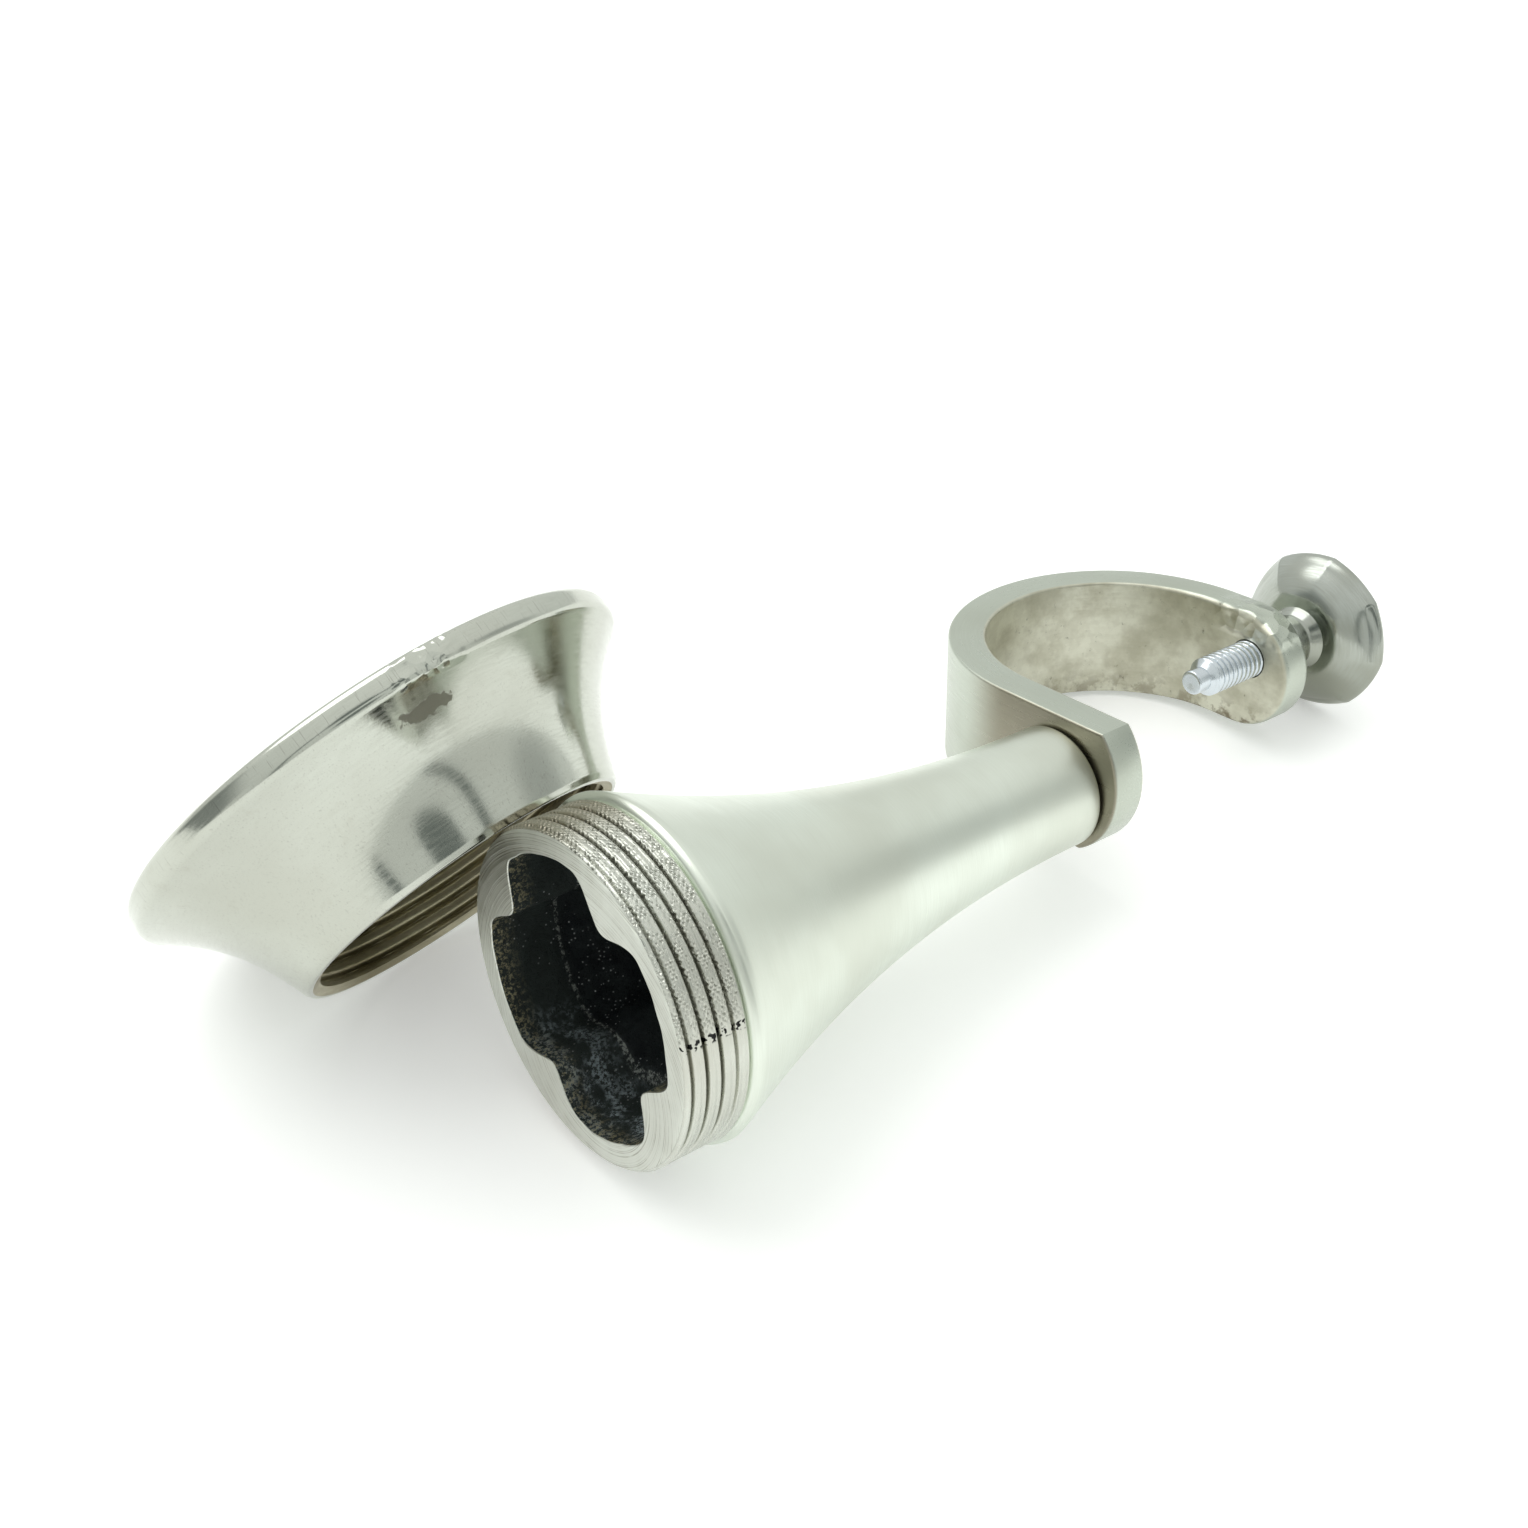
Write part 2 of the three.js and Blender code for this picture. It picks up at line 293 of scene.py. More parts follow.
# ---- materials ----
class Finish:
    """A node material on the local attribute, with short names for the nodes it uses."""

    def __init__(self, name):
        self.material = bpy.data.materials.new(name)
        self.material.use_nodes = True
        self.tree = self.material.node_tree
        self.shader = self.tree.nodes["Principled BSDF"]
        self.local = self.node("ShaderNodeAttribute", attribute_name="local").outputs["Vector"]

    def node(self, kind, inputs=None, **settings):
        made = self.tree.nodes.new(kind)
        for key, value in settings.items():
            setattr(made, key, value)
        for key, value in (inputs or {}).items():
            self.put(value, made.inputs[key])
        return made

    def put(self, value, socket):
        if isinstance(value, bpy.types.NodeSocket):
            self.tree.links.new(value, socket)
        else:
            socket.default_value = value

    def set(self, **values):
        for key, value in values.items():
            self.put(value, self.shader.inputs[key.replace("_", " ")])

    def stretched(self, scale, turn=(0, 0, 0)):
        inputs = {"Vector": self.local, "Scale": scale, "Rotation": turn}
        return self.node("ShaderNodeMapping", inputs).outputs[0]

    def noise(self, vector, scale=1.0, detail=3.0, rough=0.55):
        inputs = {"Vector": vector, "Scale": scale, "Detail": detail, "Roughness": rough}
        return self.node("ShaderNodeTexNoise", inputs).outputs["Fac"]

    def ramp(self, value, low, high, to_low=0.0, to_high=1.0):
        inputs = {"Value": value, "From Min": low, "From Max": high, "To Min": to_low, "To Max": to_high}
        return self.node("ShaderNodeMapRange", inputs, interpolation_type="SMOOTHSTEP").outputs["Result"]

    def blend(self, fac, a, b):
        made = self.node("ShaderNodeMix", data_type="RGBA")
        for index, value in ((0, fac), (6, a), (7, b)):
            self.put(value, made.inputs[index])
        return made.outputs[2]

    def math(self, operation, a, b=0.0):
        return self.node("ShaderNodeMath", {0: a, 1: b}, operation=operation).outputs[0]

    def facets(self, size_mm, where):
        """Little flat dents of about a size, as a height for bump."""
        inputs = {"Vector": self.local, "Scale": 1 / size_mm, "Randomness": 1.0}
        cells = self.node("ShaderNodeTexVoronoi", inputs, feature="F1").outputs["Distance"]
        return self.math("MULTIPLY", cells, where)

    def bump(self, height, depth_mm, below=None):
        inputs = {"Height": height, "Strength": 1.0, "Distance": depth_mm * MM}
        if below is not None:
            inputs["Normal"] = below
        return self.node("ShaderNodeBump", inputs).outputs["Normal"]


def colour(red, green, blue):
    return (red, green, blue, 1.0)


def plate(name, base, shade, roughness, marks, marks_depth, anisotropic=0.0, grain=0.0, turn=(0, 0, 0)):
    """Plated metal. base drifts to shade in soft patches, and marks is the stretch of its brush lines."""
    f = Finish(name)
    lines = f.noise(f.stretched(marks, turn), 1.0, 4.0, 0.6)
    patches = f.noise(f.stretched((0.06, 0.06, 0.06)), 1.0, 3.0)
    cloud = f.ramp(patches, 0.35, 0.7)
    tint = f.blend(cloud, base, shade)
    f.set(Base_Color=f.blend(f.ramp(lines, 0.3, 0.75, 0.0, 0.35), tint, shade))
    f.set(Metallic=1.0, Anisotropic=anisotropic)
    f.set(Roughness=f.math("ADD", f.ramp(lines, 0.25, 0.75, roughness - 0.05, roughness + 0.06),
                           f.ramp(cloud, 0, 1, 0.0, 0.03)))
    normal = f.bump(lines, marks_depth)
    if grain:
        normal = f.bump(f.noise(f.stretched((1, 1, 1)), 5.0, 3.0), grain, normal)
    f.set(Normal=normal)
    return f


def core_finish():
    """The dark as-cast hollow, left near black deeper in as painted shade, with an olive rim, a pale gritty
    lower lobe, stray grains and painted glints along the ledge's edge.
    """
    f = Finish("core_black")
    split = f.node("ShaderNodeSeparateXYZ", {0: f.local})
    depth, side, up = split.outputs
    coarse = f.noise(f.stretched((0.5, 0.5, 0.5)), 1.0, 6.0, 0.7)
    fine = f.noise(f.local, 2.6, 5.0, 0.8)
    grains = f.node("ShaderNodeTexVoronoi", {"Vector": f.local, "Scale": 2.2, "Randomness": 1.0},
                    feature="F1").outputs["Distance"]
    where = f.ramp(f.noise(f.stretched((0.22, 0.22, 0.22)), 1.0, 2.0), 0.47, 0.56)
    speck = f.math("MULTIPLY", f.ramp(grains, 0.22, 0.12), where)
    rim = f.math("MULTIPLY", f.ramp(depth, 2.6, 0.3), f.ramp(fine, 0.5, 0.57))
    low = f.math("MULTIPLY", f.ramp(up, -6.5, -9.5), f.ramp(depth, 7.0, 4.0))
    clumps = f.ramp(f.noise(f.stretched((0.6, 0.45, 0.45)), 1.0, 2.0), 0.4, 0.62)
    grit = f.math("MULTIPLY", f.math("MULTIPLY", low, clumps), f.ramp(fine, 0.46, 0.56))
    # painted highlight: pale specks along the ledge's edge stand in for glints on its corner
    off_ledge = f.math("ABSOLUTE", f.math("SUBTRACT", depth, LEDGE_DEPTH + 0.25))
    painted_ledge_glints = f.math("MULTIPLY", f.ramp(off_ledge, 0.25, 0.1), f.ramp(fine, 0.49, 0.56))
    dark = f.blend(f.ramp(coarse, 0.35, 0.7), colour(0.005, 0.008, 0.01), colour(0.022, 0.03, 0.03))
    # painted shade: the hollow's colour is lifted towards the mouth and left near black deeper in, past the
    # ledge
    painted_depth_shade = f.ramp(depth, LEDGE_DEPTH + 1, LEDGE_DEPTH - 1, 0.0, 0.6)
    dark = f.blend(painted_depth_shade, dark, colour(0.05, 0.066, 0.058))
    mixed = f.blend(f.math("MULTIPLY", speck, 0.8), dark, colour(0.5, 0.52, 0.52))
    mixed = f.blend(f.math("MULTIPLY", grit, 0.75), mixed, colour(0.6, 0.7, 0.74))
    mixed = f.blend(f.math("MULTIPLY", painted_ledge_glints, 0.7), mixed, colour(0.5, 0.53, 0.49))
    f.set(Base_Color=f.blend(f.math("MULTIPLY", rim, 0.85), mixed, colour(0.46, 0.42, 0.26)))
    f.set(Metallic=0.0, Specular_IOR_Level=0.25, Roughness=f.ramp(coarse, 0.3, 0.7, 0.4, 0.8))
    f.set(Normal=f.bump(f.noise(f.local, 3.0, 6.0, 0.75), 0.45, f.bump(coarse, 1.2)))
    return f.material


def thread_finish():
    """The cut thread: chatter beads and dark specks on its crests, a brown stain next to the rose, and
    painted shade in the groove roots.
    """
    f = plate("thread_nickel", colour(0.66, 0.68, 0.62), colour(0.55, 0.55, 0.49), 0.27,
              (7.0, 0.5, 0.5), 0.02)
    split = f.node("ShaderNodeSeparateXYZ", {0: f.local})
    angle = f.math("ARCTAN2", split.outputs[2], split.outputs[1])
    along = f.math("SUBTRACT", split.outputs[0], f.math("MULTIPLY", angle, THREAD_PITCH / TAU))
    rows = f.math("SINE", f.math("MULTIPLY", along, 3 * TAU / THREAD_PITCH))
    beads = f.math("SINE", f.math("MULTIPLY", angle, CHATTER_BEADS))
    beaded = f.math("MULTIPLY", f.ramp(angle, CHATTER_START - 0.3, CHATTER_START),
                    f.ramp(angle, CHATTER_END, CHATTER_END - 0.1))
    broken = f.ramp(f.noise(f.stretched((1.6, 0.9, 0.9)), 1.0, 5.0, 0.7), 0.42, 0.6)
    chatter = f.math("MULTIPLY", f.math("MULTIPLY", rows, beads), f.math("MULTIPLY", beaded, broken))
    across = f.node("ShaderNodeCombineXYZ", {1: split.outputs[1], 2: split.outputs[2]}).outputs[0]
    radius = f.node("ShaderNodeVectorMath", {0: across}, operation="LENGTH").outputs["Value"]
    crest = THREAD_CREST * FACETED
    # painted shade: the thread is coloured darker towards the roots of its grooves
    painted_groove_shade = f.ramp(radius, crest - 0.12, crest - THREAD_DEPTH + 0.15)
    off_speck = f.math("ABSOLUTE", f.math("SUBTRACT", angle, CHATTER_END))
    speck = f.math("MULTIPLY", f.ramp(off_speck, 0.035, 0.02), f.ramp(f.noise(f.local, 2.6, 1.0), 0.52, 0.55))
    near_rose = f.math("MULTIPLY", f.ramp(split.outputs[1], -3.0, 5.0), 0.75)
    base = f.shader.inputs["Base Color"].links[0].from_socket
    base = f.blend(f.ramp(chatter, -0.1, -0.6, 0.0, 0.65), base, colour(0.28, 0.28, 0.24))
    base = f.blend(near_rose, base, colour(0.34, 0.29, 0.2))
    base = f.blend(f.math("MULTIPLY", painted_groove_shade, 0.6), base, colour(0.2, 0.2, 0.17))
    f.set(Base_Color=f.blend(speck, base, colour(0.02, 0.02, 0.02)))
    normal = f.shader.inputs["Normal"].links[0].from_socket
    f.set(Normal=f.bump(chatter, 0.08, f.bump(rows, 0.02, normal)))
    return f.material


def face_finish():
    """The faced end: fine turning arcs, struck a little off the stem's centre."""
    f = plate("ground_nickel", colour(0.68, 0.7, 0.64), colour(0.6, 0.61, 0.55), 0.36, (0.3, 0.3, 0.3), 0.002)
    middle = f.node("ShaderNodeVectorMath", {0: f.local, 1: (0, -1.5, -5.0)}, operation="SUBTRACT").outputs[0]
    radius = f.node("ShaderNodeVectorMath", {0: middle}, operation="LENGTH").outputs["Value"]
    arcs = f.node("ShaderNodeTexNoise", {"W": f.math("MULTIPLY", radius, 9.0), "Scale": 1.0, "Detail": 2.0},
                  noise_dimensions="1D").outputs["Fac"]
    drift = f.noise(f.stretched((0.5, 0.5, 0.5)), 1.0, 3.0)
    normal = f.shader.inputs["Normal"].links[0].from_socket
    f.set(Normal=f.bump(arcs, 0.032, normal))
    base = f.shader.inputs["Base Color"].links[0].from_socket
    dark = f.math("MULTIPLY", f.ramp(arcs, 0.5, 0.68), f.ramp(drift, 0.35, 0.65, 0.25, 0.8))
    f.set(Base_Color=f.blend(dark, base, colour(0.32, 0.31, 0.26)))
    return f.material


def rose_finish():
    """Polished, with fine scratches and one dull brown mark near the rim."""
    f = plate("polished_nickel", colour(0.57, 0.59, 0.53), colour(0.5, 0.51, 0.45), 0.13,
              (6.0, 0.5, 0.5), 0.0012, grain=0.002)
    base = f.shader.inputs["Base Color"].links[0].from_socket
    rough = f.shader.inputs["Roughness"].links[0].from_socket
    offset = f.node("ShaderNodeVectorMath", {0: f.local, 1: ROSE_MARK_PLACE}, operation="SUBTRACT").outputs[0]
    shrunk = f.node("ShaderNodeVectorMath", {0: offset, 1: ROSE_MARK_SCALE}, operation="MULTIPLY").outputs[0]
    far = f.node("ShaderNodeVectorMath", {0: shrunk}, operation="LENGTH").outputs["Value"]
    ragged = f.math("ADD", far, f.ramp(f.noise(f.stretched((1.5, 1.5, 1.5)), 1.0, 3.0), 0.2, 0.8, -0.3, 0.3))
    mark = f.ramp(ragged, 1.0, 0.85)
    hairs = f.noise(f.stretched((0.4, 8.0, 8.0), (0.5, 0.3, 0.2)), 1.0, 2.0)
    scratch = f.math("MULTIPLY", f.ramp(hairs, 0.62, 0.68), 0.5)
    dust = f.ramp(f.noise(f.local, 0.7, 5.0, 0.7), 0.55, 0.75, 0.0, 0.25)
    base = f.blend(dust, base, colour(0.4, 0.39, 0.33))
    base = f.blend(scratch, base, colour(0.36, 0.36, 0.32))
    f.set(Base_Color=f.blend(f.math("MULTIPLY", mark, 0.85), base, colour(0.15, 0.145, 0.11)))
    f.set(Roughness=f.math("ADD", rough, f.math("MULTIPLY", mark, 0.25)))
    split = f.node("ShaderNodeSeparateXYZ", {0: f.local})
    off_dents = f.math("ABSOLUTE", f.math("SUBTRACT", split.outputs[1], ROSE_DENTS))
    rim = ROSE_HEIGHT - ROSE_BAND
    dented = f.math("MULTIPLY", f.ramp(split.outputs[0], rim - 0.6, rim),
                    f.math("MULTIPLY", f.ramp(off_dents, 3.5, 2.0), f.ramp(split.outputs[2], 0, 1)))
    normal = f.shader.inputs["Normal"].links[0].from_socket
    f.set(Normal=f.bump(f.facets(1.1, dented), 0.25, normal))
    return f.material


def strap_finish():
    """The strap: satin outside, duller inside the ring, with brown stains and pits there, and painted shade
    on the face of its screwed-down end that looks towards the stem.
    """
    f = plate("strap_nickel", colour(0.53, 0.57, 0.5), colour(0.47, 0.5, 0.43), 0.3,
              (0.25, 5.0, 5.0), 0.012, anisotropic=0.3)
    base = f.shader.inputs["Base Color"].links[0].from_socket
    rough = f.shader.inputs["Roughness"].links[0].from_socket
    split = f.node("ShaderNodeSeparateXYZ", {0: f.local})
    inside = f.ramp(split.outputs[2], STRAP_THICKNESS - 0.35, STRAP_THICKNESS - 0.1)
    under = f.ramp(split.outputs[2], 0.25, 0.05)
    # painted shade: the screwed-down end's face towards the stem end is coloured a dark brownish grey
    painted_foot_shade = f.math("MULTIPLY", under, f.ramp(split.outputs[0], STRAP_BEND + 6, STRAP_BEND - 1))
    clouds = f.noise(f.stretched((0.16, 0.2, 0.2)), 1.0, 4.0, 0.6)
    dull = f.blend(f.ramp(clouds, 0.35, 0.65), colour(0.67, 0.66, 0.55), colour(0.46, 0.44, 0.34))
    pits = f.ramp(f.noise(f.stretched((1.0, 1.0, 1.0)), 1.0, 5.0, 0.7), 0.62, 0.72)
    low_edge = f.ramp(split.outputs[1], -STRAP_WIDTH / 4, -STRAP_WIDTH / 2)
    near_end = f.ramp(split.outputs[0], LEG_START - 5, LEG_START + 3, 0.0, 0.6)
    stain = f.math("MULTIPLY", f.ramp(f.noise(f.stretched((0.45, 0.5, 0.5)), 1.0, 5.0, 0.65), 0.46, 0.58),
                   f.math("ADD", f.math("MULTIPLY", low_edge, f.math("ADD", near_end, 0.5)), 0.12))
    brown = f.blend(f.math("MULTIPLY", stain, 0.85), dull, colour(0.13, 0.09, 0.045))
    brown = f.blend(f.math("MULTIPLY", pits, 0.6), brown, colour(0.07, 0.06, 0.04))
    worn = f.blend(f.math("MULTIPLY", inside, 0.85), base, brown)
    f.set(Base_Color=f.blend(f.math("MULTIPLY", painted_foot_shade, 0.75), worn, colour(0.24, 0.2, 0.14)))
    f.set(Roughness=f.math("ADD", rough, f.math("MULTIPLY", inside, 0.12)))
    filed = f.math("MULTIPLY", f.ramp(split.outputs[0], LEG_START - 1, LEG_START + 3),
                   f.ramp(split.outputs[1], STRAP_WIDTH / 4, STRAP_WIDTH / 3))
    normal = f.shader.inputs["Normal"].links[0].from_socket
    f.set(Normal=f.bump(f.facets(1.8, filed), 0.6, normal))
    return f.material


def make_materials():
    """Every finish, by the name that the pieces use."""
    made = {
        "core": core_finish(),
        "thread": thread_finish(),
        "strap": strap_finish(),
        "face": face_finish(),
        "body": plate("satin_nickel", colour(0.79, 0.84, 0.76), colour(0.67, 0.7, 0.62), 0.32,
                      (9.0, 0.3, 0.3), 0.006, anisotropic=0.35, grain=0.004).material,
        "rose": rose_finish(),
        "rose_inside": plate("dull_nickel", colour(0.56, 0.52, 0.38), colour(0.26, 0.23, 0.14), 0.38,
                             (5.0, 0.4, 0.4), 0.02, grain=0.03).material,
        "zinc": plate("bright_zinc", colour(0.66, 0.71, 0.75), colour(0.56, 0.6, 0.64), 0.2,
                      (8.0, 0.4, 0.4), 0.006).material,
        # the knob's darker, browner patches are partly the zinc's uneven tone and partly a painted reflection
        "knob": plate("turned_zinc", colour(0.5, 0.53, 0.5), colour(0.3, 0.31, 0.26), 0.16,
                      (8.0, 0.4, 0.4), 0.004).material,
        "steel": plate("plain_steel", colour(0.45, 0.45, 0.43), colour(0.3, 0.29, 0.26), 0.35,
                       (6.0, 1.0, 1.0), 0.02, grain=0.02).material,
    }
    return made


# ---- stem ----
CORE, FACE, THREAD, BODY = range(4)


def groove(x, angle, pitch, sharp=4):
    """How deep a right-hand thread is: 0 on its crest and 1 in its root."""
    return (0.5 + 0.5 * np.cos(TAU * (x / pitch - angle / TAU))) ** sharp


def stem_radius(x):
    along = (x - THREAD_LENGTH) / (STEM_LENGTH - THREAD_LENGTH)
    return STEM_END_RADIUS + (SHOULDER_RADIUS - STEM_END_RADIUS) * (1 - along) ** FLARE_POWER


def core_radius(x, angle):
    """The rough hollow: four bosses, and a ledge a little way in that is widest in two of the lobes."""
    boss = np.maximum(0, np.cos(4 * (angle - CORE_BOSS_ANGLE))) ** 2
    room = stem_radius(x) - CORE_WALL if x > THREAD_LENGTH else CORE_RADIUS
    lobe = np.maximum(0, np.cos(2 * (angle - LEDGE_ANGLE)))
    ledge = 0.9 / (1 + math.exp(-(x - 7.5) * 3)) + LEDGE_RISE * lobe / (1 + math.exp(-(x - LEDGE_DEPTH) * 6))
    lumps = 0.16 * smooth_noise(angle * 3 + 0.35 * x, 3) + 0.12 * smooth_noise(angle * 7 - 0.9 * x, 8)
    scale = min(1, room / CORE_RADIUS)
    return (CORE_RADIUS - CORE_BOSS_HEIGHT * boss) * scale - 0.2 - ledge + lumps


def stem_mesh():
    turning = Turning(360)
    angle = turning.angle
    deep = core_radius(CORE_DEPTH, angle)
    turning.ring(CORE_DEPTH, deep * 0.03, CORE)
    turning.line((CORE_DEPTH, deep * 0.03), (CORE_DEPTH, deep), 6, CORE)
    for x in np.linspace(CORE_DEPTH - 0.6, 0.3, 70):
        turning.ring(x, core_radius(x, angle), CORE)
    lip = core_radius(0.1, angle)
    turning.ring(0.08, lip, CORE)
    turning.ring(0.0, lip + 0.08, FACE)
    turning.line((0.0, lip + 0.08), (0.0, THREAD_CREST - 0.3), 6, FACE)
    land = THREAD_LENGTH - THREAD_LAND
    for x in np.arange(0.04, land, 0.04):
        chamfer = 0.28 * max(0, 1 - x / 0.3)
        depth = THREAD_DEPTH * min(1, x / 0.8) * min(1, (land - x) / 0.4)
        turning.ring(x, THREAD_CREST - chamfer - depth * groove(x, angle, THREAD_PITCH, THREAD_SHARP), THREAD)
    turning.ring(land + 0.15, THREAD_CREST, THREAD)
    start, end = THREAD_LENGTH + SHOULDER_EDGE, STEM_LENGTH - EDGE
    shoulder = stem_radius(start) - SHOULDER_EDGE
    turning.ring(THREAD_LENGTH - 0.3, THREAD_CREST + 0.1, THREAD)
    turning.line((THREAD_LENGTH - 0.3, THREAD_CREST + 0.1), (THREAD_LENGTH + 0.02, shoulder + 0.05), 3, BODY)
    turning.corner((start, shoulder), SHOULDER_EDGE, 165, 97, 7, BODY)
    for x in np.linspace(start, end, 76)[1:]:
        turning.ring(x, stem_radius(x), BODY)
    turning.corner((end, stem_radius(end) - EDGE), EDGE, 88, 0, 4, BODY)
    drilled = FOOT_SCREW_RADIUS + GAP
    turning.line((STEM_LENGTH, STEM_END_RADIUS - EDGE), (STEM_LENGTH, drilled + 0.2), 3, BODY)
    turning.ring(STEM_LENGTH - 0.2, drilled, BODY)
    turning.ring(STEM_LENGTH - FOOT_SCREW_DEPTH, drilled, BODY)
    return turning.mesh("stem_casting")


# ---- wall rose ----
OUTSIDE, INSIDE = range(2)


def rose_flare(x):
    along = x / (ROSE_HEIGHT - ROSE_BAND)
    return ROSE_NECK + ROSE_TAPER * along + ROSE_CURVE * along ** 3


def rose_mesh():
    turning = Turning(360)
    angle = turning.angle
    floor = ROSE_HEIGHT - ROSE_FLOOR
    wide = rose_flare(floor) - ROSE_WALL - ROSE_FILLET
    turning.ring(floor, 0.5, INSIDE)
    turning.line((floor, 0.5), (floor, wide - ROSE_FILLET), 8, INSIDE)
    turning.corner((floor - ROSE_FILLET, wide - ROSE_FILLET), ROSE_FILLET, 0, 60, 5, INSIDE)
    for x in np.linspace(floor - 2, ROSE_THREAD_LENGTH + 1, 10):
        turning.ring(x, rose_flare(x) - ROSE_WALL, INSIDE)
    turning.ring(ROSE_THREAD_LENGTH + 0.5, ROSE_BORE + THREAD_DEPTH + 0.1, INSIDE)
    for x in np.arange(ROSE_THREAD_LENGTH, 0.35, -0.07):
        fade = min(1, (ROSE_THREAD_LENGTH + 0.1 - x) / 0.5)
        turning.ring(x, ROSE_BORE + THREAD_DEPTH * (1 - fade * (1 - groove(x, angle, THREAD_PITCH))), INSIDE)
    turning.ring(0.3, ROSE_BORE + 0.2, INSIDE)
    turning.ring(0.02, ROSE_MOUTH - 0.35, INSIDE)
    turning.ring(0.0, ROSE_MOUTH - 0.3, OUTSIDE)
    turning.corner((ROSE_LIP, ROSE_NECK - 0.26), ROSE_LIP, 175, 100, 4, OUTSIDE)
    rim = ROSE_HEIGHT - ROSE_BAND
    for x in np.linspace(ROSE_LIP + 0.2, rim - 0.3, 60):
        turning.ring(x, rose_flare(x), OUTSIDE)
    turning.corner((rim + 0.51, ROSE_RIM - 1.0), 1.0, 144, 90, 8, OUTSIDE)
    round_over = 0.8
    turning.corner((ROSE_HEIGHT - round_over, ROSE_RIM - round_over), round_over, 90, 0, 8, OUTSIDE)
    turning.line((ROSE_HEIGHT, ROSE_RIM - round_over), (ROSE_HEIGHT, 0.5), 10, OUTSIDE)
    body = turning.mesh("rose_casting")
    drills = []
    for i in range(ROSE_HOLES):
        a = TAU / 4 + i * TAU / ROSE_HOLES
        at = (ROSE_HOLE_CIRCLE * math.cos(a), ROSE_HOLE_CIRCLE * math.sin(a))
        drills.append(flipped(hole(2 * floor - ROSE_HEIGHT - 1, floor, ROSE_HOLE, (-at[0], at[1]),
                                   top=ROSE_HOLE_HEAD), floor))
    return bored(body, *drills)


# ---- hook ----
def strap_point(s, across, height):
    """Where a point of the flat strap goes once it is bent. s runs from the stem axis along the strap."""
    if s <= STRAP_BEND:
        return HOOK_START + height, s, across
    if s <= LEG_START:
        turn = (s - STRAP_BEND) / RING_OUTER
        radius = RING_OUTER - height
        return RING_X - radius * math.cos(turn), STRAP_BEND + radius * math.sin(turn), across
    return LEG_X - height, STRAP_BEND - (s - LEG_START), across


def strap_coordinates(co):
    """The reverse of strap_point: along, across and up through the flat strap."""
    x, y, z = co.T
    ring = y > STRAP_BEND
    turn = np.arctan2(y - STRAP_BEND, RING_X - x)
    radius = np.hypot(x - RING_X, y - STRAP_BEND)
    leg = x > RING_X
    along = np.where(ring, STRAP_BEND + turn * RING_OUTER, np.where(leg, LEG_START + STRAP_BEND - y, y))
    height = np.where(ring, RING_OUTER - radius, np.where(leg, LEG_X - x, x - HOOK_START))
    return np.stack([along, z - STRAP_OFFSET, height], -1)


def strap_stations(side, share):
    """One edge of the flat strap, as (s, distance from its middle), drawn in by a share of edge_radius."""
    half = STRAP_WIDTH / 2

    def inset(s):
        return edge_radius(s) * share

    rise = side * (FOOT_UP - STRAP_OFFSET)
    corner = math.asin((half - rise) / FOOT_RADIUS)
    made = []
    for i in range(17):
        a = corner * i / 16
        radius = FOOT_RADIUS - inset(0)
        made.append((FOOT_CENTRE - radius * math.cos(a), min(rise + radius * math.sin(a), half - inset(0))))
    made += [(s, half - inset(s)) for s in np.linspace(made[-1][0], STRAP_BEND, 8)[1:]]
    made += [(s, half - inset(s)) for s in np.linspace(STRAP_BEND, LEG_START, 110)[1:]]
    leg_centre = LEG_START + STRAP_BEND - LEG_END_CENTRE
    made.append((leg_centre, half - inset(leg_centre)))
    for i in range(1, 21):
        a = math.pi / 2 * i / 20
        radius = half - inset(leg_centre)
        made.append((leg_centre + radius * math.sin(a), radius * math.cos(a)))
    return made


def edge_radius(s):
    """The strap's edges are broken lightly, and rounded more at the leg that was filed to shape."""
    filed = LEG_START - 8
    return 0.3 + 0.35 / (1 + math.exp(-(s - filed) / 2))


def hook_mesh():
    steps = 5
    levels = [(math.pi / 2 * i / steps, False) for i in range(steps + 1)]
    levels += [(math.pi / 2 * i / steps, True) for i in range(steps, -1, -1)]
    loops = []
    for a, upper in levels:
        loop = []
        share = 1 - math.sin(a)
        for side, order in ((1, slice(None)), (-1, slice(-2, 0, -1))):
            for s, half in strap_stations(side, share)[order]:
                rise = edge_radius(s) * (1 - math.cos(a))
                height = STRAP_THICKNESS - rise if upper else rise
                loop.append(strap_point(s, side * half + STRAP_OFFSET, height))
        loops.append(loop)
    count = len(loops[0])
    points = [p for loop in loops for p in loop]
    faces = []
    for i in range(len(loops) - 1):
        for j in range(count):
            k = (j + 1) % count
            faces.append((i * count + j, i * count + k, (i + 1) * count + k, (i + 1) * count + j))
    tip = len(strap_stations(1, 0)) - 1
    for base in (0, (len(loops) - 1) * count):
        for j in range(tip):
            ring = [base + j, base + j + 1, base + (count - j - 1) % count, base + (count - j) % count]
            faces.append(tuple(dict.fromkeys(ring)))
    mesh = bpy.data.meshes.new("strap")
    mesh.from_pydata(points, [], faces)
    outward(mesh)
    top = HOOK_START + STRAP_THICKNESS
    shank = FOOT_SCREW_RADIUS + GAP
    return bored(
        mesh,
        hole(HOOK_START - 1, top - 1, shank, top=shank),
        hole(top - FOOT_SCREW_SINK_DEPTH, top, shank, top=FOOT_SCREW_SINK),
        hole(LEG_X - STRAP_THICKNESS - 1, LEG_X, THUMB_RADIUS + 0.1, (THUMB_ACROSS, THUMB_UP), 0.3),
    )


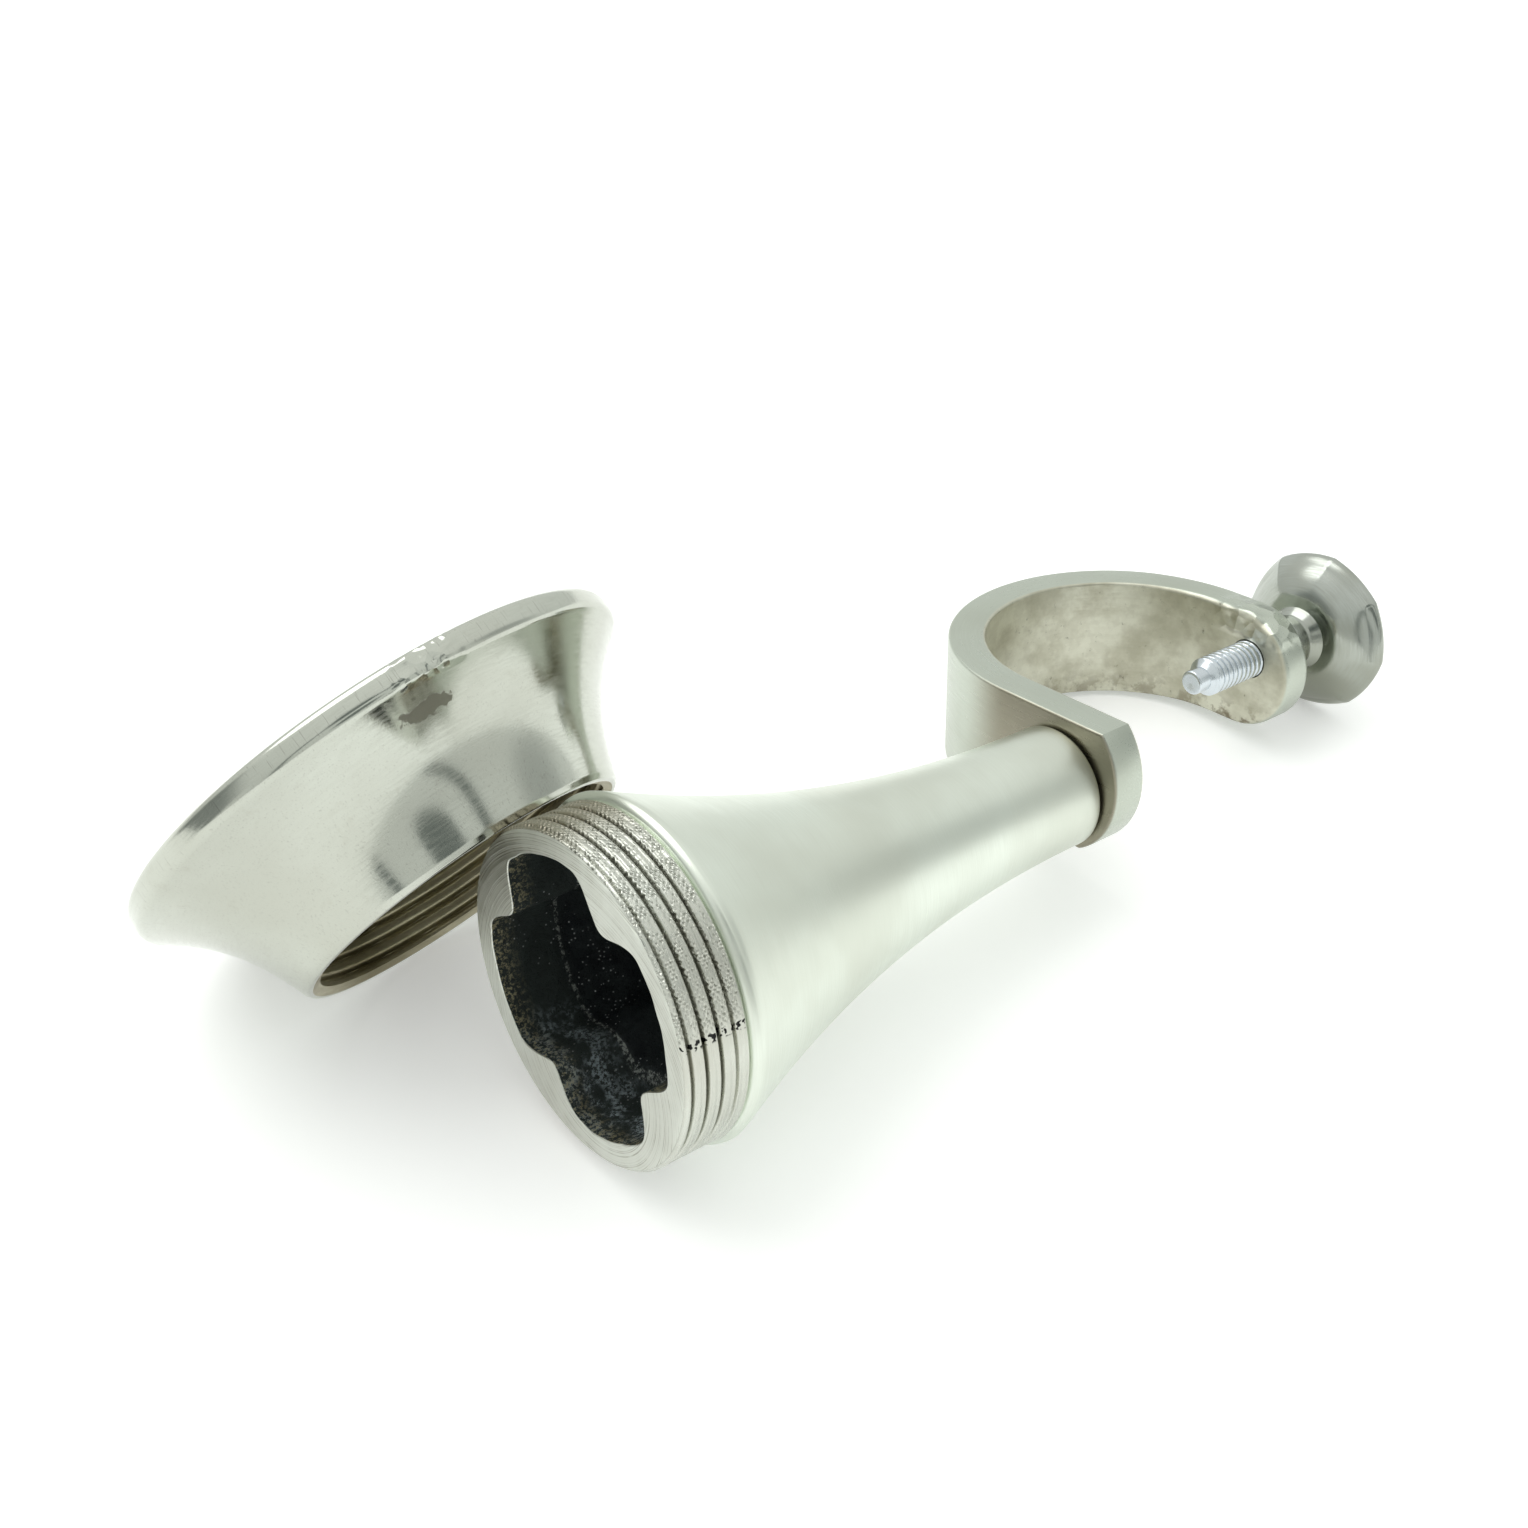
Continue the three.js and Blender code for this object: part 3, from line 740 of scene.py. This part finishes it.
# ---- screws ----
def foot_screw_mesh():
    turning = Turning(96)
    top = HOOK_START + STRAP_THICKNESS - GAP
    cone = FOOT_SCREW_HEAD - FOOT_SCREW_RADIUS
    tip = STEM_LENGTH - FOOT_SCREW_DEPTH + GAP
    turning.ring(tip, FOOT_SCREW_RADIUS - 0.4)
    turning.ring(tip + 0.4, FOOT_SCREW_RADIUS)
    for x in np.arange(tip + 0.5, top - cone - 2, 0.08):
        turning.ring(x, FOOT_SCREW_RADIUS - 0.3 * groove(x, turning.angle, FOOT_SCREW_PITCH))
    turning.ring(top - cone - 1.8, FOOT_SCREW_RADIUS)
    turning.ring(top - cone, FOOT_SCREW_RADIUS)
    turning.line((top - cone, FOOT_SCREW_RADIUS), (top - 0.1, FOOT_SCREW_HEAD), 4)
    turning.ring(top, FOOT_SCREW_HEAD - 0.08)
    turning.ring(top, 0.4)
    across = FOOT_SCREW_SOCKET / math.cos(math.pi / 6)
    socket = hole(top - FOOT_SCREW_SOCKET_DEPTH, top, across - 0.1, chamfer=0.1, sides=6)
    return bored(turning.mesh("foot_screw"), socket)


STUD_TIP = LEG_X - STRAP_THICKNESS - THUMB_REACH
KNOB_START = LEG_X + GAP
FLARE_START = KNOB_START + NECK_LENGTH
BAND_START = FLARE_START + KNOB_FLARE
BAND_END = BAND_START + KNOB_BAND


def stud_mesh():
    turning = Turning(128)
    turning.ring(STUD_TIP + 0.08, 0.2)
    turning.ring(STUD_TIP, DOG_RADIUS - 0.45)
    turning.corner((STUD_TIP + 0.22, DOG_RADIUS - 0.22), 0.22, 180, 90, 4)
    shoulder = STUD_TIP + DOG_LENGTH
    turning.ring(shoulder - 0.1, DOG_RADIUS)
    turning.line((shoulder, DOG_RADIUS + 0.05), (shoulder + 0.45, THUMB_RADIUS - 0.1), 3)
    for x in np.arange(shoulder + 0.5, BAND_START - 0.1, 0.06):
        fade = min(1, (x - shoulder) / 0.8)
        turning.ring(x, THUMB_RADIUS - 0.32 * fade * groove(x, turning.angle, THUMB_PITCH))
    turning.ring(BAND_START, THUMB_RADIUS - 0.3)
    return turning.mesh("stud")


def eight_sided(angle, weight):
    """A circle of radius 1 drawn towards an octagon inside it."""
    half = math.pi / KNOB_SIDES
    flat = math.cos(half) / np.cos((angle - KNOB_TURN + half) % (2 * half) - half)
    return 1 - weight + weight * flat


def knob_mesh():
    turning = Turning(192)
    bore = THUMB_RADIUS + GAP
    turning.ring(BAND_START + GAP, 0.3)
    turning.ring(BAND_START + GAP, bore)
    turning.line((BAND_START + GAP, bore), (KNOB_START + 0.15, bore), 3)
    turning.ring(KNOB_START, bore + 0.15)
    turning.corner((KNOB_START + 0.12, NECK_RADIUS - 0.12), 0.12, 180, 90, 3)
    turning.corner((KNOB_START + 0.6, NECK_RADIUS - 0.12), 0.12, 90, 0, 3)
    waist = NECK_RADIUS - 0.4
    turning.ring(KNOB_START + 0.75, waist)
    turning.line((KNOB_START + 0.75, waist), (FLARE_START - 0.9, waist + 0.05), 4)
    turning.line((FLARE_START - 0.9, waist + 0.05), (FLARE_START, NECK_RADIUS + 0.3), 5, power=1.4)
    turning.ring(FLARE_START + 0.12, NECK_RADIUS + 0.9)
    inner = NECK_RADIUS + 1.0
    for i in range(1, 21):
        t = i / 20
        radius = inner + (KNOB_RADIUS - 0.75 - inner) * t
        turning.ring(FLARE_START + 0.15 + (KNOB_FLARE - 0.2) * t ** 1.5,
                     radius * eight_sided(turning.angle, 0.75 * t ** 2))
    rim = (KNOB_RADIUS - 0.06) * eight_sided(turning.angle, 0.3)
    inner_rim = (KNOB_RADIUS - 0.55) * eight_sided(turning.angle, 0.8)
    turning.ring(BAND_START + 0.02, inner_rim - 0.1)
    turning.ring(BAND_START + 0.1, inner_rim)
    for i in range(1, 7):
        t = i / 6
        radius = inner_rim + (rim - inner_rim) * math.sin(t * TAU / 4)
        turning.ring(BAND_START + 0.1 + (KNOB_BAND - 0.55) * t, radius)
    for i in range(6):
        a = math.pi / 2 * i / 5
        turning.ring(BAND_END - KNOB_ROUND * (1 - math.sin(a)), rim - KNOB_ROUND * (1 - math.cos(a)))
    top = rim - KNOB_ROUND
    for t in np.linspace(0.1, 0.97, 14):
        turning.ring(BAND_END + KNOB_CROWN * (1 - (1 - t) ** 2) * 0.9, top * (1 - t))
    return turning.mesh("knob")


# ---- put the pieces in the frame ----
finishes = make_materials()
STEM_LOOKS = ("core", "face", "thread", "body")    # in the order of CORE, FACE, THREAD and BODY
KEPT = (
    # object, mesh, place, finishes, the body it rides on, the node it stands for, its material slot
    ("stem_casting", stem_mesh(), BRACKET, STEM_LOOKS, "stem", "stem", "satin_nickel"),
    ("rose_casting", rose_mesh(), ROSE, ("rose", "rose_inside"), "rose", "wall_rose", "polished_nickel"),
    ("hook_strap", hook_mesh(), BRACKET, ("strap",), "hook", "rod_hook", "strap_nickel"),
    ("foot_screw_turned", foot_screw_mesh(), BRACKET, ("steel",), "stem", "foot_screw", "screw_steel"),
    ("thumb_stud", stud_mesh(), THUMB, ("zinc",), "thumb_screw", "thumb_screw_stud", "zinc_plate"),
    ("thumb_knob", knob_mesh(), THUMB, ("knob",), "thumb_knob", "thumb_screw_knob", "zinc_plate"),
)
for name, mesh, place, looks, body, node, slot in KEPT:
    coordinates = strap_coordinates if node == "rod_hook" else None
    made = piece(name, mesh, place, [finishes[look] for look in looks], coordinates)
    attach(made, body)
    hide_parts(node)


# ---- floor, light and camera ----
FLOOR_HALF = 3.0    # metres
CAMERA_PLACE = (-56.96, -97.95, 106.03)    # millimetres from the middle of the threaded end
CAMERA_HEADING, CAMERA_DOWN, CAMERA_ROLL = 52.09, 36.62, -1.41    # degrees
CAMERA_SENSOR, CAMERA_LENS = 36.0, 46.3

def stage_floor():
    f = Finish("pale_floor")
    f.set(Base_Color=colour(0.9, 0.91, 0.9), Roughness=0.75)
    f.set(Emission_Color=colour(1, 1, 1), Emission_Strength=0.3)
    mesh = bpy.data.meshes.new("floor")
    corners = [(x * FLOOR_HALF, y * FLOOR_HALF, 0) for x, y in ((-1, -1), (1, -1), (1, 1), (-1, 1))]
    mesh.from_pydata(corners, [], [(0, 1, 2, 3)])
    mesh.materials.append(f.material)
    floor = bpy.data.objects.new("floor", mesh)
    bpy.context.collection.objects.link(floor)


def soft_light(name, place, size, power, aim=(0, 0, 0.01)):
    light = bpy.data.lights.new(name, "AREA")
    light.shape, light.size, light.energy = "DISK", size, power
    made = bpy.data.objects.new(name, light)
    made.location = place
    made.rotation_mode = "QUATERNION"
    made.rotation_quaternion = (Vector(aim) - Vector(place)).to_track_quat("-Z", "Y")
    bpy.context.collection.objects.link(made)


TENT = colour(0.78, 0.81, 0.78)
TENT_TOP = colour(0.95, 0.97, 0.94)
TENT_DARK = colour(0.1, 0.125, 0.12)
FRONT = (-0.26, -0.91, 0.33)
TENT_PARTS = (
    # direction, the angles from it where the colour is full and where it ends, in degrees, how strong, colour
    ((0.1, 0.3, 1), 10, 80, 1.0, TENT_TOP),
    (FRONT, 32, 33.5, 0.85, TENT_DARK),
    (FRONT, 26.5, 28, 1.0, TENT),
    ((-0.18, -0.91, 0.36), 9, 11, 0.85, TENT_DARK),
    ((-0.3, -0.6, 0.75), 9, 13, 0.75, TENT_DARK),
    ((-1.0, 0.3, 0.1), 14, 30, 0.7, TENT_DARK),
    ((0.83, -0.5, 0.3), 5, 20, 0.4, TENT_DARK),
)


def surround():
    """A white light tent, brightest overhead, with a ring round its front port and dull sides.

    What is seen straight past the floor's edge is plain white.
    """
    world = bpy.data.worlds.new("studio")
    world.use_nodes = True
    tree = world.node_tree
    way = tree.nodes.new("ShaderNodeTexCoord").outputs["Generated"]

    def shaded(below, direction, inner, outer, amount, shade):
        """The colour below, drawn by amount towards shade within an angle of a direction."""
        turn = tree.nodes.new("ShaderNodeVectorMath")
        turn.operation = "DOT_PRODUCT"
        tree.links.new(way, turn.inputs[0])
        turn.inputs[1].default_value = Vector(direction).normalized()
        near = tree.nodes.new("ShaderNodeMapRange")
        near.interpolation_type = "SMOOTHSTEP"
        tree.links.new(turn.outputs["Value"], near.inputs["Value"])
        near.inputs["From Min"].default_value = math.cos(math.radians(outer))
        near.inputs["From Max"].default_value = math.cos(math.radians(inner))
        near.inputs["To Max"].default_value = amount
        mix = tree.nodes.new("ShaderNodeMix")
        mix.data_type = "RGBA"
        tree.links.new(near.outputs[0], mix.inputs[0])
        if isinstance(below, tuple):
            mix.inputs[6].default_value = below
        else:
            tree.links.new(below, mix.inputs[6])
        mix.inputs[7].default_value = shade
        return mix.outputs[2]

    sky = TENT
    for direction, inner, outer, amount, shade in TENT_PARTS:
        sky = shaded(sky, direction, inner, outer, amount, shade)
    backdrop = tree.nodes.new("ShaderNodeMix")
    backdrop.data_type = "RGBA"
    tree.links.new(tree.nodes.new("ShaderNodeLightPath").outputs["Is Camera Ray"], backdrop.inputs[0])
    tree.links.new(sky, backdrop.inputs[6])
    backdrop.inputs[7].default_value = colour(1, 1, 1)
    tree.links.new(backdrop.outputs[2], tree.nodes["Background"].inputs["Color"])
    bpy.context.scene.world = world


def studio_camera():
    """Above and in front of the threaded end, looking along the stem."""
    data = bpy.data.cameras.new("camera")
    data.sensor_width, data.lens = CAMERA_SENSOR, CAMERA_LENS
    camera = bpy.data.objects.new("camera", data)
    heading, down, roll = (math.radians(a) for a in (CAMERA_HEADING, CAMERA_DOWN, CAMERA_ROLL))
    flat = math.cos(down)
    ahead = Vector((math.cos(heading) * flat, math.sin(heading) * flat, -math.sin(down)))
    level = Vector((math.sin(heading), -math.cos(heading), 0))
    right = (Matrix.Rotation(-roll, 3, ahead) @ level).normalized()
    up = right.cross(ahead)
    place = Matrix.Translation(BRACKET.translation + Vector(CAMERA_PLACE) * MM)
    camera.matrix_world = place @ Matrix((right, up, -ahead)).transposed().to_4x4()
    data.clip_start = 0.01
    bpy.context.collection.objects.link(camera)
    bpy.context.scene.camera = camera


stage_floor()
surround()
soft_light("key", (-0.2, 0.5, 0.9), 1.0, 4.0)
studio_camera()
bpy.context.scene.view_settings.view_transform = "Standard"
